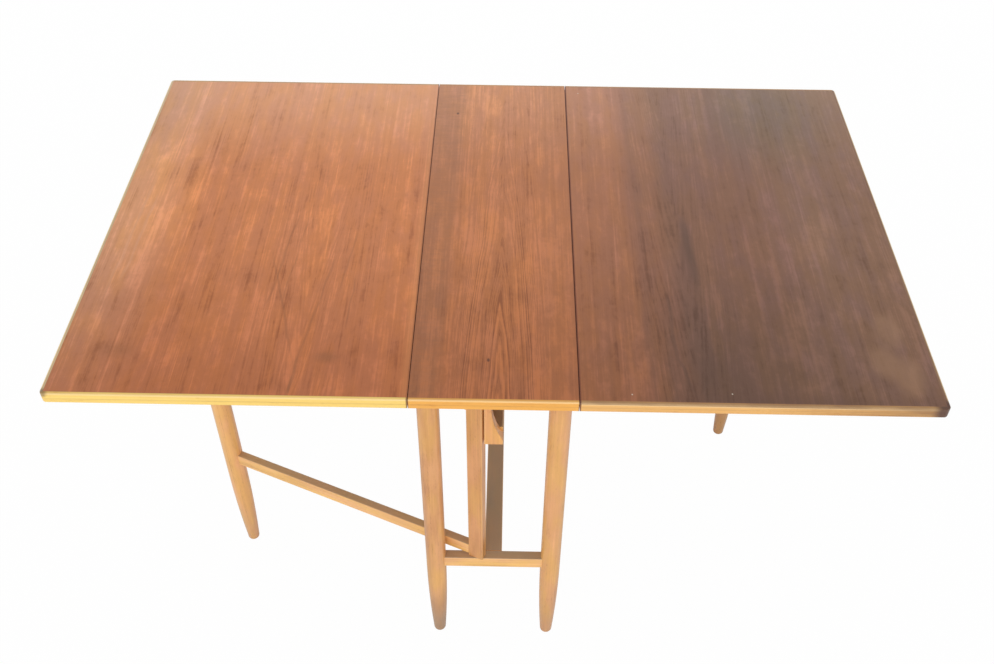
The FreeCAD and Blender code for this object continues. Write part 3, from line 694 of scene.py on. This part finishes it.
def beech_piece(name, origin, turn, seed, body, tones, pith, half=None):
    """Lacquered solid beech, planed or turned: warm, close-grained and softly glossy.

    half is half the piece's size across and through the grain, where it is squared.
    """
    material, tree = new_material("beech_" + name)
    at, own = timber(tree, origin, turn, seed)
    value, relief, patches = beech_grain(tree, at, own, seed, pith, 0.012)
    patch = step(tree, streaks(tree, own, 90.0, 22.0, 2.0)[0], 0.34, 0.66)
    # The gates' legs get their lighter and darker copies of the tone here: painted light and
    # painted shade.
    body = scaled(body, GATE_LEG_LIGHT_AND_SHADE.get(name, UNCHANGED))
    body = blended(tree, patch, scaled(body, (1.0, 1.02, 0.86)), scaled(body, (1.0, 0.96, 1.12)))
    colour = shade(tree, body, value, (0.62, 0.52, 0.42), (1.15, 1.2, 1.3))
    # The long edges are paled: partly rubbed, partly a painted highlight where light catches the
    # arrises.
    if half is not None:
        worn = near_edges(tree, at, half[0], half[1])
        colour = tinted(tree, colour, linear(EDGE_WEAR_AND_HIGHLIGHT), both(tree, worn, 0.4))
    smudges = streaks(tree, own, 110.0, 16.0, 3.0, 0.5, 0.3)[0]
    handled = both(tree, step(tree, smudges, 0.3, 0.75), HANDLED.get(name, USUAL_HANDLED))
    colour = tinted(tree, colour, linear(HANDLED_BEECH), handled)
    place = add(tree, "ShaderNodeTexCoord")
    height = coordinates(tree, place.outputs["Object"])[2]
    grey = FOOT_GREY.get(name, USUAL_FOOT_GREY)
    low = both(tree, step(tree, height, 0.17, 0.02), together(tree, grey, [(patches, grey)]))
    colour = tinted(tree, colour, tones.feet, low)
    # Upward faces go grey-brown: partly dust, partly painted shade from the top above them.
    if name in DUST_AND_SHADE:
        upward = step(tree, coordinates(tree, place.outputs["Normal"])[2], 0.5, 0.95)
        settled = together(tree, DUST_AND_SHADE[name], [(patches, 0.35)])
        colour = tinted(tree, colour, tones.dust_and_shade, both(tree, upward, settled))
    roughness = together(tree, 0.38, [(value, -0.1), (patches, 0.12)])
    surface(tree, colour, roughness, relief, 0.04, IOR=1.5, Coat_Weight=0.5, Coat_Roughness=0.2)
    return material


def lipping_piece(name, origin, turn, seed, body, grime_and_shade, soil_and_shade):
    """Solid beech lipping, lacquered: pale on its top arris, partly rubbed and partly a painted
    highlight, and browned beside the veneer, partly soiled and, on the right leaf, partly painted
    shade.

    The last argument says how far its flat top has gone brown; on the right leaf that brown is
    partly painted shade.
    """
    material, tree = new_material("beech_" + name)
    at, own = timber(tree, origin, turn, seed)
    value, relief, patches = beech_grain(tree, at, own, seed, LIPPING_PITH, 0.0)
    colour = shade(tree, body, value, (0.74, 0.62, 0.48), (1.06, 1.1, 1.16))
    if name in WORN_AND_SHADED_LIPPING:
        towards, share = WORN_AND_SHADED_LIPPING[name]
        colour = tinted(tree, colour, linear(towards), share)
    along, outward, up = coordinates(tree, at)
    rim = BAND_DEPTH if name == BANDED_LIPPING else 0.0
    # The top arris is paled: partly rubbed, partly a painted highlight where light catches the
    # edge.
    arris = both(tree, step(tree, outward, -2.8, -1.4), step(tree, up, -3.0 - rim, -1.4 - rim))
    colour = tinted(tree, colour, linear(ARRIS_WEAR_AND_HIGHLIGHT), both(tree, arris, 0.5))
    cloud = streaks(tree, own, 60.0, 12.0, 3.0)[0]
    if rim:
        flat = step(tree, up, -1.2 - rim, 0.4 - rim)
    else:
        flat = both(tree, step(tree, outward, -1.3, -2.6), step(tree, up, -1.6, -0.4))
    # On the right leaf the flat top's brown, and the brown spreading over the front lipping's face
    # towards the right end, is partly painted shade.
    brown = both(tree, flat, together(tree, soil_and_shade, [(cloud, 1.2 * min(soil_and_shade, 0.5))]))
    if rim:
        spread = both(tree, step(tree, along, *BAND_FADING), together(tree, 0.62, [(cloud, 0.9)]))
        brown = calculate(tree, "MAXIMUM", brown, spread)
    joint = both(tree, step(tree, outward, -4.3, -4.8), 0.5)
    colour = tinted(tree, colour, grime_and_shade, calculate(tree, "MAXIMUM", brown, joint))
    # A faint line along the face, where the lipping was planed in two passes.
    smear = both(tree, step(tree, apart(tree, up, -9.5), 1.6, 0.5), both(tree, cloud, 0.3))
    colour = at_the_seams(tree, tinted(tree, colour, grime_and_shade, smear), 0.75, 0.85)
    colour = at_the_corners(tree, colour, linear(CORNER_BROWN))
    roughness = together(tree, 0.4, [(value, -0.1), (patches, 0.1)])
    surface(tree, colour, roughness, relief, 0.04, IOR=1.5, Coat_Weight=0.3, Coat_Roughness=0.25)
    return material


def backed_board(name, seed, body):
    """Blockboard with a plain backing veneer, only sealed: flat, dry and pale brown."""
    material, tree = new_material("backing_" + name)
    at, own = timber(tree, (0.0, 0.0, TOP), ALONG_Y, seed)
    value, relief = teak_grain(tree, at, own, seed, (60.0, 40.0), 0.03, 0.3)[:2]
    colour = shade(tree, body, value, (0.6, 0.55, 0.5), (1.2, 1.2, 1.2))
    facing = add(tree, "ShaderNodeTexCoord").outputs["Normal"]
    level = calculate(tree, "ABSOLUTE", coordinates(tree, facing)[2])
    colour = tinted(tree, colour, linear(BOARD_EDGE), step(tree, level, 0.7, 0.3))
    surface(tree, colour, together(tree, 0.62, [(value, -0.15)]), relief, 0.06, IOR=1.5)
    return material


def metal(name, tone, stain, brushed, roughness):
    """Rolled brass or drawn steel: fine draw lines, dulled and stained in patches."""
    material, tree = new_material(name)
    own = timber(tree, (0.0, 0.0, TOP), ALONG_Y if brushed else ALONG_Z)[1]
    draw = streaks(tree, own, 30.0, 0.35, 2.0)[0]
    patches = streaks(tree, own, 14.0, 9.0, 3.0)[0]
    bright = step(tree, together(tree, 0.55, [(patches, 1.3), (draw, 0.4)]), 0.2, 0.6)
    colour = blended(tree, bright, stain, tone)
    surface(tree, colour, together(tree, roughness, [(draw, 0.2), (patches, -0.25)]), draw, 0.01,
            Metallic=1.0)
    return material


# Pieces

def middle(node_name):
    """The middle of a node's box, in metres."""
    low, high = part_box(node_name)
    return (low + high) / 2


def gate_turn(side):
    """The turn about Z that takes X from a gate's pivot out to its leg."""
    joint = next(j for j in frame["joints"] if j["name"] == side + "_gate_swing")
    out = middle(side + "_gate_leg") - Vector(joint["pos_m"])
    return (0.0, 0.0, math.atan2(out.y, out.x))


class TABLE_OT_veneer_top(bpy.types.Operator):
    """Lays teak veneer on the two leaves and the centre board"""
    bl_idname = "table.veneer_top"
    bl_label = "Veneer the top"

    def execute(self, context):
        tones = context.scene.table_teak
        give("left_leaf_veneer", left_veneer(tones))
        give("centre_veneer", centre_veneer(tones))
        give("right_leaf_veneer", right_veneer(tones))
        return {"FINISHED"}


class TABLE_OT_back_boards(bpy.types.Operator):
    """Backs the three boards with plain veneer"""
    bl_idname = "table.back_boards"
    bl_label = "Back the boards"

    def execute(self, context):
        tones = context.scene.table_teak
        for count, node_name in enumerate(("left_leaf_board", "centre_board", "right_leaf_board")):
            seed = SEED_STEP * (FIRST_SEED["boards"] + count)
            give(node_name, backed_board(node_name, seed, tones.backing))
        return {"FINISHED"}


class TABLE_OT_lip_edges(bpy.types.Operator):
    """Lips the edges of the leaves and the centre board with beech"""
    bl_idname = "table.lip_edges"
    bl_label = "Lip the edges"

    def execute(self, context):
        tones = context.scene.table_beech
        bodies = {"left_leaf": tones.left_lipping, "centre": tones.centre_lipping,
                  "right_leaf": tones.right_lipping}
        for count, (board, body) in enumerate(bodies.items()):
            seed = SEED_STEP * (FIRST_SEED["lippings"] + count * 3)
            for edge in ("front", "back", "end"):
                node_name = board + "_" + edge + "_lipping"
                if node_name not in frame["nodes"]:
                    continue
                low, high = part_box(node_name)
                centre = (low + high) / 2
                if edge == "front":
                    origin, turn = (centre.x, low.y, high.z), math.pi
                elif edge == "back":
                    origin, turn = (centre.x, high.y, high.z), 0.0
                elif board == "left_leaf":
                    origin, turn = (low.x, centre.y, high.z), math.pi / 2
                else:
                    origin, turn = (high.x, centre.y, high.z), -math.pi / 2
                give(node_name, lipping_piece(node_name, origin, (0.0, 0.0, turn), seed, body,
                                              tones.grime_and_shade, LIPPING_SOIL_AND_SHADE[board][edge]))
        return {"FINISHED"}


class TABLE_OT_turn_legs(bpy.types.Operator):
    """Finishes the six turned legs"""
    bl_idname = "table.turn_legs"
    bl_label = "Finish the legs"

    def execute(self, context):
        tones = context.scene.table_beech
        for count, node_name in enumerate(TURNED_LEGS):
            seed = SEED_STEP * (FIRST_SEED["legs"] + count)
            give(node_name, beech_piece(node_name, middle(node_name), ALONG_Z, seed,
                                        tones.legs, tones, LEG_PITH))
        return {"FINISHED"}


class TABLE_OT_plane_rails(bpy.types.Operator):
    """Finishes the rails and hanger blocks of the fixed frame"""
    bl_idname = "table.plane_rails"
    bl_label = "Finish the fixed rails"

    def execute(self, context):
        tones = context.scene.table_beech
        seed = SEED_STEP * FIRST_SEED["rails"]
        for names, turn, sides, body in ((FRAME_ALONG_X, ALONG_X, (1, 2), tones.rails),
                                         (FRAME_ALONG_Y, ALONG_Y, (0, 2), tones.rails),
                                         (FRAME_ALONG_Z, ALONG_Z, (1, 0), tones.blocks)):
            for node_name in names:
                low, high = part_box(node_name)
                half = [(high[axis] - low[axis]) / 2 / MM for axis in sides]
                give(node_name, beech_piece(node_name, (low + high) / 2, turn, seed, body, tones,
                                            RAIL_PITH, half))
                seed = seed + SEED_STEP
        return {"FINISHED"}


class TABLE_OT_plane_gates(bpy.types.Operator):
    """Finishes the stiles and rails of the two gates"""
    bl_idname = "table.plane_gates"
    bl_label = "Finish the gates"

    def execute(self, context):
        tones = context.scene.table_beech
        for side in ("left", "right"):
            seed = SEED_STEP * FIRST_SEED[side]
            turn = gate_turn(side)
            for count, part in enumerate(("lower_rail", "upper_rail")):
                node_name = side + "_gate_" + part
                low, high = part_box(node_name)
                half = (GATE_RAIL_HALF, (high.z - low.z) / 2 / MM)
                give(node_name, beech_piece(node_name, (low + high) / 2, turn,
                                            seed + SEED_STEP * count, tones.rails, tones,
                                            GATE_RAIL_PITH, half))
            node_name = side + "_gate_stile"
            upright = Matrix.Rotation(turn[2], 3, "Z") @ Matrix.Rotation(-math.pi / 2, 3, "Y")
            give(node_name, beech_piece(node_name, middle(node_name), tuple(upright.to_euler()),
                                        seed + SEED_STEP * 2, tones.stiles, tones,
                                        STILE_PITH, STILE_HALF))
        return {"FINISHED"}


class TABLE_OT_fit_metal(bpy.types.Operator):
    """Finishes the hinges, pins and screws"""
    bl_idname = "table.fit_metal"
    bl_label = "Finish the metal"

    def execute(self, context):
        tones = context.scene.table_metal
        brass = metal("rolled_brass", tones.brass, tones.tarnish, True, 0.36)
        pins = metal("drawn_steel_pins", tones.steel, linear(PIN_STAIN), True, 0.3)
        screws = metal("bright_steel_screws", tones.steel, linear(SCREW_STAIN), False, 0.34)
        for node_name in frame["nodes"]:
            if "screws" in node_name:
                give(node_name, screws)
            elif node_name.endswith("_pin"):
                give(node_name, pins)
            elif "flap" in node_name:
                give(node_name, brass)
        return {"FINISHED"}


# Studio

# Half the floor's side in metres, and how white its paper is by itself.
FLOOR_HALF = 9.0
PAPER = (0.86, 0.86, 0.86)
# The camera's place in metres, its turns in radians, its sensor and lens in millimetres.
CAMERA_PLACE = (0.01694, -1.44535, 1.86368)
CAMERA_DOWN = 0.7762
CAMERA_ASIDE = -0.0123
CAMERA_TILT = -0.008
SENSOR_WIDTH = 36.0
CAMERA_LENS = 39.84
# Each lamp's name, place, what it is turned to, and its width and height, in metres; and
# which of the light's settings is its power.
LAMPS = (("window", (-0.1, 3.3, 1.65), (0.0, 0.3, 0.7), (3.4, 0.8), "window"),
         ("fill", (-0.3, -3.6, 1.3), (0.0, 0.0, 0.5), (2.4, 1.6), "fill"),
         ("left_panel", (-2.6, -1.3, 0.42), (0.0, -0.2, 0.4), (1.4, 0.5), "panels"),
         ("right_panel", (2.6, -1.3, 0.42), (0.0, -0.2, 0.4), (1.4, 0.5), "panels"))


def studio_world(light):
    """Even light from all round, which the camera sees as plain white."""
    world = bpy.data.worlds.new("studio")
    bpy.context.scene.world = world
    world.use_nodes = True
    tree = world.node_tree
    tree.nodes.clear()
    path = add(tree, "ShaderNodeLightPath")
    seen = calculate(tree, "MAXIMUM", path.outputs["Is Camera Ray"],
                     path.outputs["Is Transmission Ray"])
    lit = add(tree, "ShaderNodeBackground", {"Color": (1, 1, 1, 1), "Strength": light.sky})
    white = add(tree, "ShaderNodeBackground", {"Color": (1, 1, 1, 1), "Strength": 1.0})
    mix = add(tree, "ShaderNodeMixShader", {0: seen, 1: lit.outputs[0], 2: white.outputs[0]})
    add(tree, "ShaderNodeOutputWorld", {"Surface": mix.outputs[0]})


def studio_floor(light):
    """A flat white floor. The camera sees it lifted to white, with a faint shadow left."""
    corners = [(-FLOOR_HALF, -FLOOR_HALF, 0), (FLOOR_HALF, -FLOOR_HALF, 0),
               (FLOOR_HALF, FLOOR_HALF, 0), (-FLOOR_HALF, FLOOR_HALF, 0)]
    mesh = bpy.data.meshes.new("studio_floor")
    mesh.from_pydata(corners, [], [(0, 1, 2, 3)])
    floor = bpy.data.objects.new("studio_floor", mesh)
    bpy.context.scene.collection.objects.link(floor)
    material, tree = new_material("studio_paper")
    path = add(tree, "ShaderNodeLightPath")
    seen = path.outputs["Is Camera Ray"]
    paper = add(tree, "ShaderNodeBsdfDiffuse", {"Color": opaque(PAPER)})
    glow = add(tree, "ShaderNodeEmission", {"Color": (1, 1, 1, 1), "Strength": 1.0})
    lifted = add(tree, "ShaderNodeMixShader",
                 {0: light.floor_white, 1: paper.outputs[0], 2: glow.outputs[0]})
    mix = add(tree, "ShaderNodeMixShader", {0: seen, 1: paper.outputs[0], 2: lifted.outputs[0]})
    add(tree, "ShaderNodeOutputMaterial", {"Surface": mix.outputs[0]})
    mesh.materials.append(material)


def studio_lamp(name, place, aim, size, power):
    """A flat soft light at a place, turned to what it aims at."""
    lamp = bpy.data.lights.new(name, "AREA")
    lamp.shape = "RECTANGLE"
    lamp.size, lamp.size_y = size
    lamp.energy = power
    holder = bpy.data.objects.new(name, lamp)
    bpy.context.scene.collection.objects.link(holder)
    holder.location = place
    holder.rotation_euler = (Vector(aim) - Vector(place)).to_track_quat("-Z", "Y").to_euler()


def studio_camera():
    """The camera, turned down, aside and tilted from a level look along +Y."""
    ahead = Vector((math.sin(CAMERA_ASIDE) * math.cos(CAMERA_DOWN),
                    math.cos(CAMERA_ASIDE) * math.cos(CAMERA_DOWN), -math.sin(CAMERA_DOWN)))
    right = Vector((math.cos(CAMERA_ASIDE), -math.sin(CAMERA_ASIDE), 0.0))
    down = ahead.cross(right)
    tilted_right = right * math.cos(CAMERA_TILT) + down * math.sin(CAMERA_TILT)
    tilted_down = down * math.cos(CAMERA_TILT) - right * math.sin(CAMERA_TILT)
    turn = Matrix((tilted_right, -tilted_down, -ahead)).transposed()
    camera = bpy.data.cameras.new("camera")
    camera.lens = CAMERA_LENS
    camera.sensor_width = SENSOR_WIDTH
    camera.sensor_fit = "HORIZONTAL"
    holder = bpy.data.objects.new("camera", camera)
    bpy.context.scene.collection.objects.link(holder)
    holder.matrix_world = Matrix.Translation(CAMERA_PLACE) @ turn.to_4x4()
    bpy.context.scene.camera = holder


class TABLE_OT_set_stage(bpy.types.Operator):
    """Sets up the studio: floor, soft light and camera"""
    bl_idname = "table.set_stage"
    bl_label = "Set the stage"

    def execute(self, context):
        light = context.scene.table_light
        context.scene.view_settings.view_transform = "Standard"
        studio_world(light)
        studio_floor(light)
        for name, place, aim, size, power in LAMPS:
            studio_lamp(name, place, aim, size, getattr(light, power))
        studio_camera()
        return {"FINISHED"}


class TABLE_PT_panel(bpy.types.Panel):
    """The table's steps and tones"""
    bl_idname = "TABLE_PT_panel"
    bl_label = "Butterfly folding table"
    bl_space_type = "VIEW_3D"
    bl_region_type = "UI"
    bl_category = "Table"

    def draw(self, context):
        for step_class in STEPS:
            self.layout.operator(step_class.bl_idname)
        for holder in GROUPS:
            box = self.layout.box()
            for prop in getattr(context.scene, holder).bl_rna.properties:
                if prop.identifier not in ("rna_type", "name"):
                    box.prop(getattr(context.scene, holder), prop.identifier)


STEPS = (TABLE_OT_veneer_top, TABLE_OT_back_boards, TABLE_OT_lip_edges, TABLE_OT_turn_legs,
         TABLE_OT_plane_rails, TABLE_OT_plane_gates, TABLE_OT_fit_metal, TABLE_OT_set_stage)
GROUPS = {"table_teak": TeakTones, "table_beech": BeechTones, "table_metal": MetalTones,
          "table_light": StudioLight}


def register():
    for group in GROUPS.values():
        bpy.utils.register_class(group)
    for step_class in STEPS + (TABLE_PT_panel,):
        bpy.utils.register_class(step_class)
    for name, group in GROUPS.items():
        setattr(bpy.types.Scene, name, PointerProperty(type=group))


def unregister():
    for name in GROUPS:
        delattr(bpy.types.Scene, name)
    for item in (TABLE_PT_panel,) + tuple(reversed(STEPS)) + tuple(GROUPS.values()):
        bpy.utils.unregister_class(item)


def main():
    register()
    bpy.ops.table.veneer_top()
    bpy.ops.table.back_boards()
    bpy.ops.table.lip_edges()
    bpy.ops.table.turn_legs()
    bpy.ops.table.plane_rails()
    bpy.ops.table.plane_gates()
    bpy.ops.table.fit_metal()
    bpy.ops.table.set_stage()


if __name__ == "__main__":
    main()
